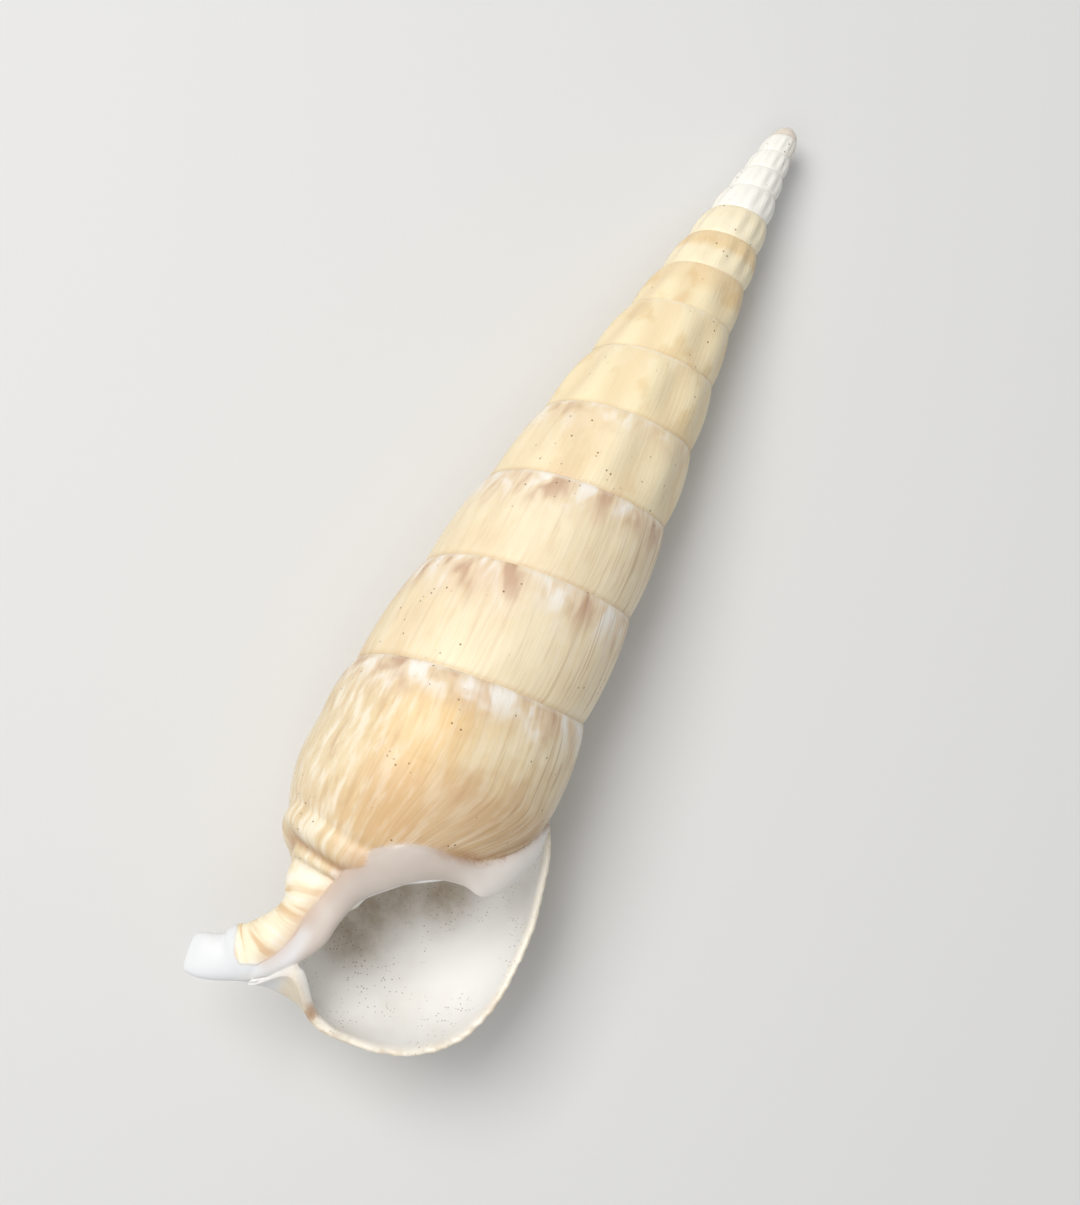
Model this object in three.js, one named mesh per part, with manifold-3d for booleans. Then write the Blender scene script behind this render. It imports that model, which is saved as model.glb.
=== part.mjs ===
// Noble vertagus: a tall turreted sea shell that lies on its back with its mouth up.
// The shell grew as one piece, so it is one mesh: a solid spire and body whorl, the thin wall of the
// last half whorl with its flared lip, the columella with its bent canal, and the smooth callus.
// Points are x to the right, y along the axis towards the apex, z up to the mouth side, in mm.
// Heights along the axis count from the suture one turn above the lip junction.
import * as THREE from "three";
import { mergeVertices } from "three/addons/utils/BufferGeometryUtils.js";
import Module from "manifold-3d";

// Driving dimensions, in millimetres and turns.
const TURNS = 13.2; // whorls above the lip junction
const SUTURE_RADIUS = 14; // radius of the suture one turn above the lip junction
const PITCH = 15.97; // height of the whorl at that suture
const BULGE = 0.062; // how far a whorl swells past its sutures, as a share of its radius
const APEX_RISE = 0.7; // height of the round cap at the apex
const OPEN_SWELLING = 0.62; // share of the bulge left where the last whorl runs on into the base
const WALL = 1.5; // thickness of the shell wall
const LIP_EDGE = 1; // thickness at the edge of the outer lip
const CORE_END = 0.45; // turn where the solid body whorl ends and the thin wall takes over
const BASE_DEPTH = 16.7; // height of the rounded base below the last whorl's face
const BASE_INNER = 3; // radius at which the base meets the columella
const BASE_SHOWN = 0.86; // share of the base's arc that shows beside the neck
const CORD_HEIGHTS = [0.85, 0.75]; // how far the thick and the thin cord of the fasciole stand up
const GROOVE_DEPTHS = [0.3, 0.5, 0.35]; // grooves above, between and below the cords
const ROOF_DEPTH = 8; // height of the hidden base of the whorl above, the roof of the mouth
const HOLLOW_RADIUS = 9.4; // distance of the hollow's middle from the axis
const HOLLOW_HALF = [4.1, 7.2]; // half width and half height of the hollow where it starts
const CANAL_BEND = 8.5; // how far the canal leaves to the left
const FOLD_SHIFT = [3.8, 3.2]; // how far the fold in the lip's edge goes up the axis, and to the front
const REST_SLOPE = THREE.MathUtils.degToRad(6); // how far the axis dips towards the apex at rest
const REST_CUT = 0.6; // depth of the worn flat spots that the shell rests on

// Mesh densities.
const STEPS_PER_TURN = 24;
const FACE_ROWS = [0, 0.07, 0.24, 0.45, 0.67, 0.88];
const BASE_ROWS = 12;
const ROOF_ROWS = 4;
const WALL_STEPS_AROUND = 20;
const WALL_STEPS_ACROSS = 26;

// Turns are counted from the lip junction back to the apex, and whole turns lie on the right.
// The suture's height rises steadily, by less each turn.
function sutureHeight(turn) {
  const m = turn - 1;
  if (m < 0) return PITCH * m + 2.6 * m * m;
  return PITCH * m - 1.119 * m * m + 0.0319 * m * m * m;
}

// The suture's radius: a slightly rounded cone, widest at the lip junction.
function sutureRadius(turn) {
  const z = sutureHeight(turn);
  if (turn < 1) {
    const swell = Math.pow((1 - Math.cos(Math.PI * (turn - 1))) / 2, 1.3);
    return SUTURE_RADIUS + 1.9 * swell;
  }
  return SUTURE_RADIUS - 0.0542 * z - 0.00227 * z * z + 0.0000143 * z * z * z;
}

function smooth(low, high, value) {
  const s = THREE.MathUtils.clamp((value - low) / (high - low), 0, 1);
  return s * s * (3 - 2 * s);
}

// A whorl's swelling from its upper suture, 0, to its lower one, 1: fullest just under the shoulder.
// In front the last whorl has no suture below it, and swells on into the base.
function swelling(turn, t) {
  const closed = Math.sqrt(Math.max(0, 4 * t * (1 - t))) * (1 - 0.3 * t * t * t);
  const open = smooth(1.02, 0.92, turn) * smooth(0.4, 0.95, t);
  return THREE.MathUtils.lerp(closed, OPEN_SWELLING, open);
}

// The middle whorls are flatter than the last ones, and the earliest are the most convex.
function bulgeShare(turn) {
  return BULGE * (1 - 0.35 * smooth(2.5, 4.5, turn) + 1.1 * smooth(6, 9, turn));
}

// Radius and height of the outer face of the whorl, t from its upper to its lower suture.
function facePoint(turn, t) {
  const r0 = sutureRadius(turn);
  const r1 = sutureRadius(turn - 1);
  const z0 = sutureHeight(turn);
  const z1 = sutureHeight(turn - 1);
  return {
    r: r0 + (r1 - r0) * t + r0 * bulgeShare(turn) * swelling(turn, t),
    z: z0 + (z1 - z0) * t,
  };
}

// How far down the rounded base shows, as a share of its arc: whole on the left, where the body
// whorl ends in the open, and not at all on the right, where the mouth takes its place.
function baseShown(turn) {
  return THREE.MathUtils.clamp(2.75 * (1 - turn), 0, BASE_SHOWN);
}

// Radius and height of the rounded base below a whorl's face, at a share u of its arc.
// Two spiral cords of the fasciole stand on the base of the last half whorl, and lean away from the
// left side in both directions.
function arcPoint(turn, u) {
  const top = facePoint(turn, 1);
  const angle = (u * Math.PI) / 2;
  const lean = Math.min(Math.abs(turn - 0.55), 0.15);
  const thick = CORD_HEIGHTS[0] * bump(u, 0.44 + 1.1 * lean, 0.065 + 0.2 * lean);
  const thin = CORD_HEIGHTS[1] * bump(u, 0.635 + 0.9 * lean, 0.035);
  const above = GROOVE_DEPTHS[0] * bump(u, 0.335 + lean, 0.03);
  const between = GROOVE_DEPTHS[1] * bump(u, 0.545 + lean, 0.03);
  const under = GROOVE_DEPTHS[2] * bump(u, 0.7 + 0.9 * lean, 0.03);
  const shown = smooth(0.38, 0.5, turn) * (1 - smooth(0.8, 0.95, turn));
  const cord = shown * (thick + thin - above - between - under);
  const start = THREE.MathUtils.lerp(top.r, sutureRadius(turn - 1), smooth(0, 0.6, u));
  return {
    r: BASE_INNER + (start - BASE_INNER) * Math.cos(angle) + cord,
    z: top.z - BASE_DEPTH * Math.sin(angle) - 0.3 * cord,
  };
}

// The shown arc of the base, s from 0 to 1, and then the roof of the mouth, s from 1 to 2.
function basePoint(turn, s) {
  const shown = baseShown(turn);
  if (s <= 1) return arcPoint(turn, s * shown);
  const edge = arcPoint(turn, shown);
  const shallow = THREE.MathUtils.lerp(0.8, 3, smooth(0.7, 0.75, turn));
  const depth = THREE.MathUtils.lerp(shallow, ROOF_DEPTH, smooth(0.8, 1, turn));
  const angle = ((s - 1) * Math.PI) / 2;
  return {
    r: BASE_INNER + (edge.r - BASE_INNER) * Math.cos(angle),
    z: edge.z - depth * Math.sin(angle),
  };
}

function bump(value, centre, width) {
  const d = (value - centre) / width;
  return Math.exp(-d * d);
}

// A point at a turn, a distance from an axis that may stand off centre, and a height.
function around(turn, r, height, axisX = 0) {
  const angle = 2 * Math.PI * turn;
  return new THREE.Vector3(axisX + r * Math.cos(angle), height, -r * Math.sin(angle));
}

// A closed mesh under construction.
class Body {
  constructor() {
    this.points = [];
    this.faces = [];
  }
  point(v) {
    this.points.push(v.x, v.y, v.z);
    return this.points.length / 3 - 1;
  }
  face(a, b, c) {
    if (a !== b && b !== c && c !== a) this.faces.push(a, b, c);
  }
  quad(a, b, c, d) {
    this.face(a, b, c);
    this.face(a, c, d);
  }
  fan(centre, ring) {
    for (let i = 0; i < ring.length; i++) this.face(centre, ring[i], ring[(i + 1) % ring.length]);
  }
}

// The spire and the body whorl as one spiral strip, closed at the apex and at the base.
function makeCore() {
  const body = new Body();
  const n = STEPS_PER_TURN;
  const last = Math.round((TURNS - CORE_END) * n);
  const turnOf = (k) => CORE_END + (last - k) / n;
  const columns = [];
  for (let k = 0; k <= last; k++) {
    const turn = turnOf(k);
    columns.push(
      FACE_ROWS.map((t) => {
        const p = facePoint(turn, t);
        return body.point(around(turn, p.r, p.z));
      }),
    );
  }
  const pole = body.point(new THREE.Vector3(-1, sutureHeight(0.5) - 20, 0));
  for (let k = last - n; k <= last; k++) {
    const turn = turnOf(k);
    const rows = [];
    if (k + n > last) {
      const p = facePoint(turn, 1);
      rows.push(body.point(around(turn, p.r, p.z)));
    } else rows.push(columns[last][0]);
    for (let i = 1; i <= BASE_ROWS + ROOF_ROWS; i++) {
      const s = i <= BASE_ROWS ? i / BASE_ROWS : 1 + (i - BASE_ROWS) / ROOF_ROWS;
      const p = basePoint(turn, s);
      rows.push(body.point(around(turn, p.r, p.z)));
    }
    rows.push(pole);
    columns[k].base = rows;
  }
  const column = (k) => {
    const below = k + n <= last ? [columns[k + n][0]] : columns[k].base;
    return [...columns[k], ...below];
  };
  for (let k = 0; k < last; k++) {
    const a = column(k);
    const b = column(k + 1);
    if (k === last - n) a.push(...columns[k].base.slice(1));
    const rows = Math.min(a.length, b.length);
    for (let j = 0; j + 1 < rows; j++) body.quad(a[j], b[j], b[j + 1], a[j + 1]);
  }
  // The flat end of the body whorl, between its own face and the base of the whorl above.
  const outer = column(last);
  const inner = columns[last - n].base;
  stitch(body, outer, inner);
  // The apex is a small round cap.
  const top = sutureHeight(TURNS);
  const rim = column(0);
  for (let k = n - 1; k > 0; k--) rim.push(columns[k][0]);
  const cap = rim.map((index) => {
    const [x, y, z] = body.points.slice(3 * index, 3 * index + 3);
    const height = THREE.MathUtils.lerp(y, top, 0.6) + 0.7 * APEX_RISE;
    return body.point(new THREE.Vector3(0.7 * x, height, 0.7 * z));
  });
  for (let i = 0; i < rim.length; i++) {
    const k = (i + 1) % rim.length;
    body.quad(cap[i], rim[i], rim[k], cap[k]);
  }
  body.fan(body.point(new THREE.Vector3(0, top + APEX_RISE, 0)), cap);
  return body;
}

// Triangles between two rows of vertices that start and end together.
function stitch(body, left, right) {
  let i = 0;
  let j = 0;
  while (i < left.length - 1 || j < right.length - 1) {
    const nextLeft = (i + 1) / (left.length - 1);
    const nextRight = (j + 1) / (right.length - 1);
    if (j >= right.length - 1 || (i < left.length - 1 && nextLeft <= nextRight)) {
      body.face(left[i + 1], left[i], right[j]);
      i += 1;
    } else {
      body.face(left[i], right[j], right[j + 1]);
      j += 1;
    }
  }
}

// Profiles of the last half whorl, from the suture to the canal: distance from the bent axis, height.
const BACK_RIB = [
  [15.0, -10.0],
  [16.0, -14.0],
  [16.2, -18.5],
  [16.0, -23.0],
  [15.4, -28.0],
  [14.0, -33.0],
  [11.7, -37.5],
  [8.0, -41.8],
  [1.0, -45.5],
];
const LIP_RIB = [
  [15.9, -12.3],
  [18.6, -16.6],
  [20.6, -23.0],
  [22.5, -30.0],
  [24.3, -37.0],
  [24.3, -43.0],
  [20.6, -47.4],
  [12.6, -48.9],
  [1.0, -48.4],
];

// A smooth value between the rows of a profile, at b from 0 to 1.
function alongRib(rib, b) {
  const s = b * (rib.length - 1);
  const i = Math.min(rib.length - 2, Math.floor(s));
  const row = (k) => rib[THREE.MathUtils.clamp(k, 0, rib.length - 1)];
  const f = s - i;
  const mix = (c) => {
    const [p0, p1, p2, p3] = [row(i - 1)[c], row(i)[c], row(i + 1)[c], row(i + 2)[c]];
    const m1 = (p2 - p0) / 2;
    const m2 = (p3 - p1) / 2;
    const f2 = f * f;
    const f3 = f2 * f;
    return (2 * f3 - 3 * f2 + 1) * p1 + (f3 - 2 * f2 + f) * m1 + (3 * f2 - 2 * f3) * p2 + (f3 - f2) * m2;
  };
  return { r: mix(0), z: mix(1) };
}

// The canal leaves to the left, so the axis of the last half whorl bends that way below the body.
function axisShift(z) {
  return -CANAL_BEND * Math.pow(THREE.MathUtils.clamp((-24 - z) / 26, 0, 1.2), 1.6);
}

// The outer face of the last half whorl: it leaves the body whorl, rounds the back and flares
// into the lip.
function wallPoint(turn, b) {
  const own = b < 3 / 8 ? facePoint(turn, (b * 8) / 3) : arcPoint(turn, (b * 8 - 3) / 5);
  const back = alongRib(BACK_RIB, b);
  const lip = alongRib(LIP_RIB, b);
  const toBack = smooth(0.47, 0.25, turn);
  const reach = THREE.MathUtils.clamp((0.25 - turn) / 0.25, 0, 1);
  const toLip = THREE.MathUtils.lerp(Math.pow(reach, 1.5), smooth(0, 1, reach), smooth(0.75, 0.93, b));
  const r = THREE.MathUtils.lerp(THREE.MathUtils.lerp(own.r, back.r, toBack), lip.r, toLip);
  const z = THREE.MathUtils.lerp(THREE.MathUtils.lerp(own.z, back.z, toBack), lip.z, toLip);
  return around(turn, r, z, axisShift(z) * toBack);
}

// The edge of the lip stands up in a small fold beside the canal.
function foldShift(turn, b) {
  const fold = smooth(0.1, 0, turn) * bump(b, 0.945, 0.034);
  return new THREE.Vector3(0, FOLD_SHIFT[0] * fold, FOLD_SHIFT[1] * fold);
}

// The thin wall of the last half whorl, a closed sheet with an outer and an inner face.
function makeWall() {
  const body = new Body();
  const start = CORE_END + 0.1;
  const outer = [];
  const inner = [];
  for (let i = 0; i <= WALL_STEPS_AROUND; i++) {
    const a = i / WALL_STEPS_AROUND;
    const turn = start * (1 - a);
    const rowOut = [];
    const rowIn = [];
    for (let j = 0; j <= WALL_STEPS_ACROSS; j++) {
      const b = 1 - Math.pow(1 - j / WALL_STEPS_ACROSS, 1.3);
      const p = wallPoint(turn, b);
      const e = 0.004;
      const du = wallPoint(turn - e, b).sub(wallPoint(turn + e, b));
      const dv = wallPoint(turn, Math.min(1, b + e)).sub(wallPoint(turn, Math.max(0, b - e)));
      const normal = dv.cross(du).normalize();
      const inset = 0.4 * smooth(CORE_END + 0.01, start, turn);
      const thickness = THREE.MathUtils.lerp(WALL, LIP_EDGE, smooth(0.9, 1, a));
      p.add(foldShift(turn, b));
      rowOut.push(body.point(p.clone().addScaledVector(normal, inset)));
      rowIn.push(body.point(p.clone().addScaledVector(normal, inset + thickness)));
    }
    outer.push(rowOut);
    inner.push(rowIn);
  }
  const lastRow = WALL_STEPS_AROUND;
  const lastColumn = WALL_STEPS_ACROSS;
  for (let i = 0; i < lastRow; i++) {
    for (let j = 0; j < lastColumn; j++) {
      body.quad(outer[i][j], outer[i + 1][j], outer[i + 1][j + 1], outer[i][j + 1]);
      body.quad(inner[i][j], inner[i][j + 1], inner[i + 1][j + 1], inner[i + 1][j]);
    }
    body.quad(outer[i][0], inner[i][0], inner[i + 1][0], outer[i + 1][0]);
    const end = lastColumn;
    body.quad(outer[i][end], outer[i + 1][end], inner[i + 1][end], inner[i][end]);
  }
  for (let j = 0; j < lastColumn; j++) {
    body.quad(outer[0][j], outer[0][j + 1], inner[0][j + 1], inner[0][j]);
    body.quad(outer[lastRow][j], inner[lastRow][j], inner[lastRow][j + 1], outer[lastRow][j + 1]);
  }
  return body;
}

// A closed body through a row of rings with equally many points.
function loft(rings) {
  const body = new Body();
  const rows = rings.map((ring) => ring.map((p) => body.point(p)));
  const count = rings[0].length;
  for (let i = 0; i + 1 < rows.length; i++) {
    for (let j = 0; j < count; j++) {
      const k = (j + 1) % count;
      body.quad(rows[i][j], rows[i + 1][j], rows[i + 1][k], rows[i][k]);
    }
  }
  const middle = (ring) => ring.reduce((sum, p) => sum.add(p), new THREE.Vector3()).divideScalar(count);
  body.fan(body.point(middle(rings[0])), rows[0]);
  body.fan(body.point(middle(rings[rings.length - 1])), [...rows[rows.length - 1]].reverse());
  return body;
}

// The columella: a pillar inside the body whorl that becomes the neck and the flat tongue of the canal.
// Each row: centre x, height along the axis, z, half width across, half depth to the front.
const COLUMELLA = [
  [0.0, -6.0, 0.0, 2.6, 2.6],
  [0.0, -20.0, 0.5, 3.6, 3.6],
  [-2.7, -28.0, 1.4, 4.5, 4.6],
  [-4.4, -33.0, 1.2, 4.9, 4.8],
  [-4.5, -37.0, 0.8, 3.5, 4.2],
  [-5.3, -40.3, 0.4, 3.4, 3.6],
  [-7.6, -43.8, -0.3, 3.4, 2.6],
  [-9.2, -45.3, -0.6, 3.5, 2.1],
  [-10.4, -46.4, -0.9, 2.9, 1.6],
  [-11.9, -47.2, -1.1, 2.8, 1.3],
  [-13.6, -47.8, -1.4, 2.7, 1.0],
  [-15.0, -48.1, -1.6, 2.2, 0.5],
];

function makeColumella() {
  const line = new THREE.CatmullRomCurve3(COLUMELLA.map(([x, y, z]) => new THREE.Vector3(x, y, z)));
  const sizes = new THREE.CatmullRomCurve3(COLUMELLA.map((row) => new THREE.Vector3(row[3], row[4], 0)));
  const stations = 22;
  const sides = 16;
  const rings = [];
  for (let i = 0; i <= stations; i++) {
    const s = i / stations;
    const centre = line.getPoint(s);
    const size = sizes.getPoint(s);
    const ahead = line.getTangent(s);
    const front = new THREE.Vector3(0, 0, 1).addScaledVector(ahead, -ahead.z).normalize();
    const across = new THREE.Vector3().crossVectors(front, ahead);
    // The section is an oval that turns squarer towards the tip.
    const power = THREE.MathUtils.lerp(1, 0.7, smooth(0.7, 1, s));
    const squarer = (value) => Math.sign(value) * Math.pow(Math.abs(value), power);
    const ring = [];
    for (let j = 0; j < sides; j++) {
      const angle = (2 * Math.PI * j) / sides;
      const p = centre.clone().addScaledVector(across, size.x * squarer(Math.cos(angle)));
      ring.push(p.addScaledVector(front, size.y * squarer(Math.sin(angle))));
    }
    rings.push(ring);
  }
  return loft(rings);
}

// The hollow of the last whorl goes on behind the front of the body whorl and narrows to its end.
// Each ring is a slanted oval, higher at the outer wall.
function makeHollow() {
  const rings = [];
  const stations = 14;
  const sides = 16;
  for (let i = 0; i <= stations; i++) {
    const s = i / stations;
    const turn = THREE.MathUtils.lerp(CORE_END - 0.04, 1, s);
    const height = THREE.MathUtils.lerp(-22.8, -15.2, s);
    const shrink = Math.sqrt(1 - 0.96 * s * s);
    const ring = [];
    for (let j = 0; j < sides; j++) {
      const angle = (2 * Math.PI * j) / sides;
      const out = HOLLOW_HALF[0] * shrink * Math.cos(angle);
      const up = HOLLOW_HALF[1] * shrink * Math.sin(angle) + 0.7 * out;
      ring.push(around(turn, HOLLOW_RADIUS + out, height + up));
    }
    rings.push(ring);
  }
  return loft(rings);
}

// The callus, a smooth thick ribbon over the body whorl and down the columella to the canal.
// Its outer edge lies on the shell and its inner edge hangs free over the mouth.
// Each row: the two edges as x, height along the axis, z.
const CALLUS = [
  [15.7, -13.3, 1.6, 16.9, -13.9, 0.6],
  [15.1, -14.9, 3.7, 17.7, -16.8, 0.8],
  [14.5, -17.4, 5.6, 17.4, -20.6, 3.2],
  [12.9, -20.3, 7.7, 15.4, -24.0, 7.0],
  [10.3, -22.4, 9.8, 13.0, -25.9, 9.0],
  [6.4, -23.5, 12.3, 9.9, -25.8, 10.0],
  [2.8, -24.5, 13.3, 6.5, -27.0, 10.8],
  [-0.2, -26.6, 12.6, 3.1, -29.8, 10.3],
  [-2.5, -30.1, 10.0, 0.5, -32.8, 8.2],
  [-3.4, -33.9, 6.6, -0.5, -36.3, 6.2],
  [-4.3, -37.9, 4.9, -0.9, -39.8, 4.8],
  [-5.0, -42.6, 3.0, -2.8, -43.4, 3.0],
  [-7.6, -45.8, 0.9, -6.3, -47.2, 0.3],
  [-10.4, -47.2, -0.3, -9.6, -49.0, -0.9],
];

function makeCallus() {
  const edge = (from) => {
    const corners = CALLUS.map((row) => new THREE.Vector3(row[from], row[from + 1], row[from + 2]));
    return new THREE.CatmullRomCurve3(corners);
  };
  const outerEdge = edge(0);
  const innerEdge = edge(3);
  const stations = 30;
  const rings = [];
  for (let i = 0; i <= stations; i++) {
    const s = i / stations;
    const a = outerEdge.getPoint(s);
    const c = innerEdge.getPoint(s);
    const across = c.clone().sub(a);
    const along = outerEdge.getTangent(s).add(innerEdge.getTangent(s));
    const up = new THREE.Vector3().crossVectors(along, across).normalize();
    if (up.z < 0) up.negate();
    // Each corner of the section: share of the width from the outer edge, height above the edges.
    const section = [
      [-0.12, -1.2],
      [-0.03, 0.1],
      [0.2, 0.7],
      [0.65, 0.85],
      [0.96, 0.45],
      [1.02, -0.2],
      [0.85, -1.1],
      [0.35, -2.1],
    ];
    const ends = 0.35 + 0.65 * smooth(0, 0.12, s) * smooth(1, 0.8, s);
    rings.push(section.map(([w, h]) => a.clone().addScaledVector(across, w).addScaledVector(up, h * ends)));
  }
  return loft(rings);
}

const wasm = await Module();
wasm.setup();

// A body as a solid that faces outwards.
function solid(body) {
  const make = (faces) =>
    new wasm.Manifold(
      new wasm.Mesh({
        numProp: 3,
        vertProperties: new Float32Array(body.points),
        triVerts: new Uint32Array(faces),
      }),
    );
  const made = make(body.faces);
  if (made.volume() > 0) return made;
  const turned = [];
  for (let i = 0; i < body.faces.length; i += 3) {
    turned.push(body.faces[i], body.faces[i + 2], body.faces[i + 1]);
  }
  return make(turned);
}

let shell = solid(makeCore()).subtract(solid(makeHollow()));
shell = shell.add(solid(makeWall()));
shell = shell.add(solid(makeColumella()));
shell = shell.add(solid(makeCallus()));

// A solid's mesh as a three.js geometry, and back.
function geometryOf(made) {
  const mesh = made.getMesh();
  const geometry = new THREE.BufferGeometry();
  geometry.setAttribute("position", new THREE.BufferAttribute(new Float32Array(mesh.vertProperties), 3));
  geometry.setIndex(new THREE.BufferAttribute(new Uint32Array(mesh.triVerts), 1));
  return geometry;
}

function solidOf(geometry) {
  const bare = geometry.clone();
  bare.deleteAttribute("normal");
  bare.deleteAttribute("uv");
  const merged = mergeVertices(bare, 1e-4);
  return solid({ points: [...merged.attributes.position.array], faces: [...merged.index.array] });
}

// At rest the axis dips a little towards the apex. The back is worn flat where it touches the surface.
const posed = geometryOf(shell).rotateX(-REST_SLOPE);
posed.computeBoundingBox();
const floor = posed.boundingBox.min.z + REST_CUT;
const below = new THREE.BoxGeometry(200, 400, 20).translate(0, 0, floor - 10);
shell = solidOf(posed).subtract(solidOf(below));

const geometry = geometryOf(shell);
geometry.computeBoundingBox();
const centre = geometry.boundingBox.getCenter(new THREE.Vector3());
geometry.translate(-centre.x, -centre.y, -floor);

const mesh = new THREE.Mesh(
  geometry,
  new THREE.MeshStandardMaterial({ color: 0xdcc39a, roughness: 0.4, metalness: 0 }),
);
mesh.name = "shell";
const group = new THREE.Group();
group.add(mesh);

export default group;
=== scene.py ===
import math

import bmesh
import bpy
import numpy as np
from mathutils import Matrix, Vector


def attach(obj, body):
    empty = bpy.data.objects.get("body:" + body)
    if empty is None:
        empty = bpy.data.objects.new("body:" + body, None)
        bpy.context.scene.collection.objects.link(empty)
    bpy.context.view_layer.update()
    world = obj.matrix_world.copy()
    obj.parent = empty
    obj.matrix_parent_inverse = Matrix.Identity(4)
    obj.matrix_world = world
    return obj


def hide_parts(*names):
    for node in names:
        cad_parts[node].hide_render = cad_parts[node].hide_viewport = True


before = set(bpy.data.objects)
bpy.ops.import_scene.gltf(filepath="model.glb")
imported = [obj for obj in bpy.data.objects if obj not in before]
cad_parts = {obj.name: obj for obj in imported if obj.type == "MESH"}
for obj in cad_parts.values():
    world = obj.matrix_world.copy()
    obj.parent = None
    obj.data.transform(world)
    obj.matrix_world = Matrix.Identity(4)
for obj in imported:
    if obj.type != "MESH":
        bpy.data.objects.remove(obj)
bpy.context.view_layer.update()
bpy.ops.object.select_all(action="DESELECT")


# Shell. It grew as one piece of lime: a spiral of whorls that ends in a thin flared lip, a twisted pillar
# with a short bent canal, and a smooth glaze beside the mouth. It is shaped in millimetres, with x to the
# right, y along the axis to the apex and z to the mouth side, and turns are counted back from the lip.
TURNS = 13.2
SUTURE_RADIUS = 14.0
PITCH = 15.97
BULGE = 0.062
APEX_RISE = 0.7
OPEN_SWELLING = 0.62
BODY_END = 0.45
BASE_DEPTH = 16.7
BASE_SHOWN = 0.86
THICK_CORD = 0.85
THIN_CORD = 0.75
PILLAR_RADIUS = 3.0
ROOF_DEPTH = 8.0
HOLLOW_RADIUS = 9.4
HOLLOW_HALF_WIDTH = 4.1
HOLLOW_HALF_HEIGHT = 7.2
WALL_THICKNESS = 1.5
LIP_THICKNESS = 1.0
FOLD_THICKNESS = 0.9
CANAL_BEND = 8.5

# Low relief: folds and beads as shares of the radius, and how many there are in a turn.
FOLD_HEIGHT = 0.04
FOLDS_PER_TURN = 9
BEAD_HEIGHT = 0.035
BEADS_PER_TURN = 13

# How finely the mesh follows the shape.
STEPS_PER_TURN = 120
FACE_STEPS = 20
BASE_STEPS = 44
ROOF_STEPS = 14
WALL_STEPS_AROUND = 90
WALL_STEPS_ACROSS = 110

ZONE_OUTSIDE = 0
ZONE_MOUTH = 1
ZONE_PILLAR = 2
ZONE_CALLUS = 3


def smooth(low, high, value):
    s = np.clip((value - low) / (high - low), 0.0, 1.0)
    return s * s * (3 - 2 * s)


def mix(a, b, share):
    return a + (b - a) * share


def bump(value, centre, width):
    return np.exp(-(((value - centre) / width) ** 2))


def waves(x, seed, octaves=4):
    """A smooth wavy line of about one wave a unit, made of a few sines, between about -1 and 1."""
    total = 0.0
    for k in range(octaves):
        rate = 1.0 + 0.73 * k
        total = total + np.sin(2 * math.pi * rate * x + seed * (1.7 + 2.3 * k)) / (1 + 0.6 * k)
    return total / 2.4


# The suture climbs by less each turn, on a slightly rounded cone that is widest at the lip.
def suture_height(turn):
    m = turn - 1
    upper = PITCH * m - 1.119 * m**2 + 0.0319 * m**3
    return np.where(m < 0, PITCH * m + 2.6 * m**2, upper)


def suture_radius(turn):
    z = suture_height(turn)
    swell = np.power(np.clip((1 - np.cos(math.pi * (turn - 1))) / 2, 0, 1), 1.3)
    upper = SUTURE_RADIUS - 0.0542 * z - 0.00227 * z**2 + 0.0000143 * z**3
    return np.where(turn < 1, SUTURE_RADIUS + 1.9 * swell, upper)


def folded(turn):
    """How strong the folds are: only the middle whorls have them."""
    return smooth(2.6, 4.4, turn) * smooth(7.8, 6.6, turn)


def fold_angle(turn):
    return 2 * math.pi * (FOLDS_PER_TURN * turn + 0.2 * np.sin(7 * turn))


def face_point(turn, t):
    """Radius and height of a whorl's outer face, t from its upper suture, 0, to its lower one, 1."""
    r0, r1 = suture_radius(turn), suture_radius(turn - 1)
    z0, z1 = suture_height(turn), suture_height(turn - 1)
    share = BULGE * (1 - 0.35 * smooth(2.5, 4.5, turn) + 1.1 * smooth(6, 9, turn))
    swelling = np.sqrt(np.clip(4 * t * (1 - t), 0, None)) * (1 - 0.3 * t**3)
    # In front the last whorl has no suture below it, and swells on into the base.
    open_front = smooth(1.02, 0.92, turn) * smooth(0.4, 0.95, t)
    swelling = mix(swelling, OPEN_SWELLING, open_front)
    r = r0 + (r1 - r0) * t + r0 * share * swelling
    # The middle whorls carry low broad folds, and the first ones small beads.
    inside = np.clip(4 * t * (1 - t), 0, 1)
    r = r + FOLD_HEIGHT * r0 * folded(turn) * inside * np.cos(fold_angle(turn))
    beads = smooth(6.6, 8.0, turn)
    bead_angle = 2 * math.pi * (BEADS_PER_TURN * turn + 0.2 * t)
    r = r + BEAD_HEIGHT * r0 * beads * inside * np.cos(bead_angle)
    # Growth was never quite even.
    r = r + 0.004 * r0 * inside * waves(9 * turn, 1.3)
    return r, z0 + (z1 - z0) * t


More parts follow.
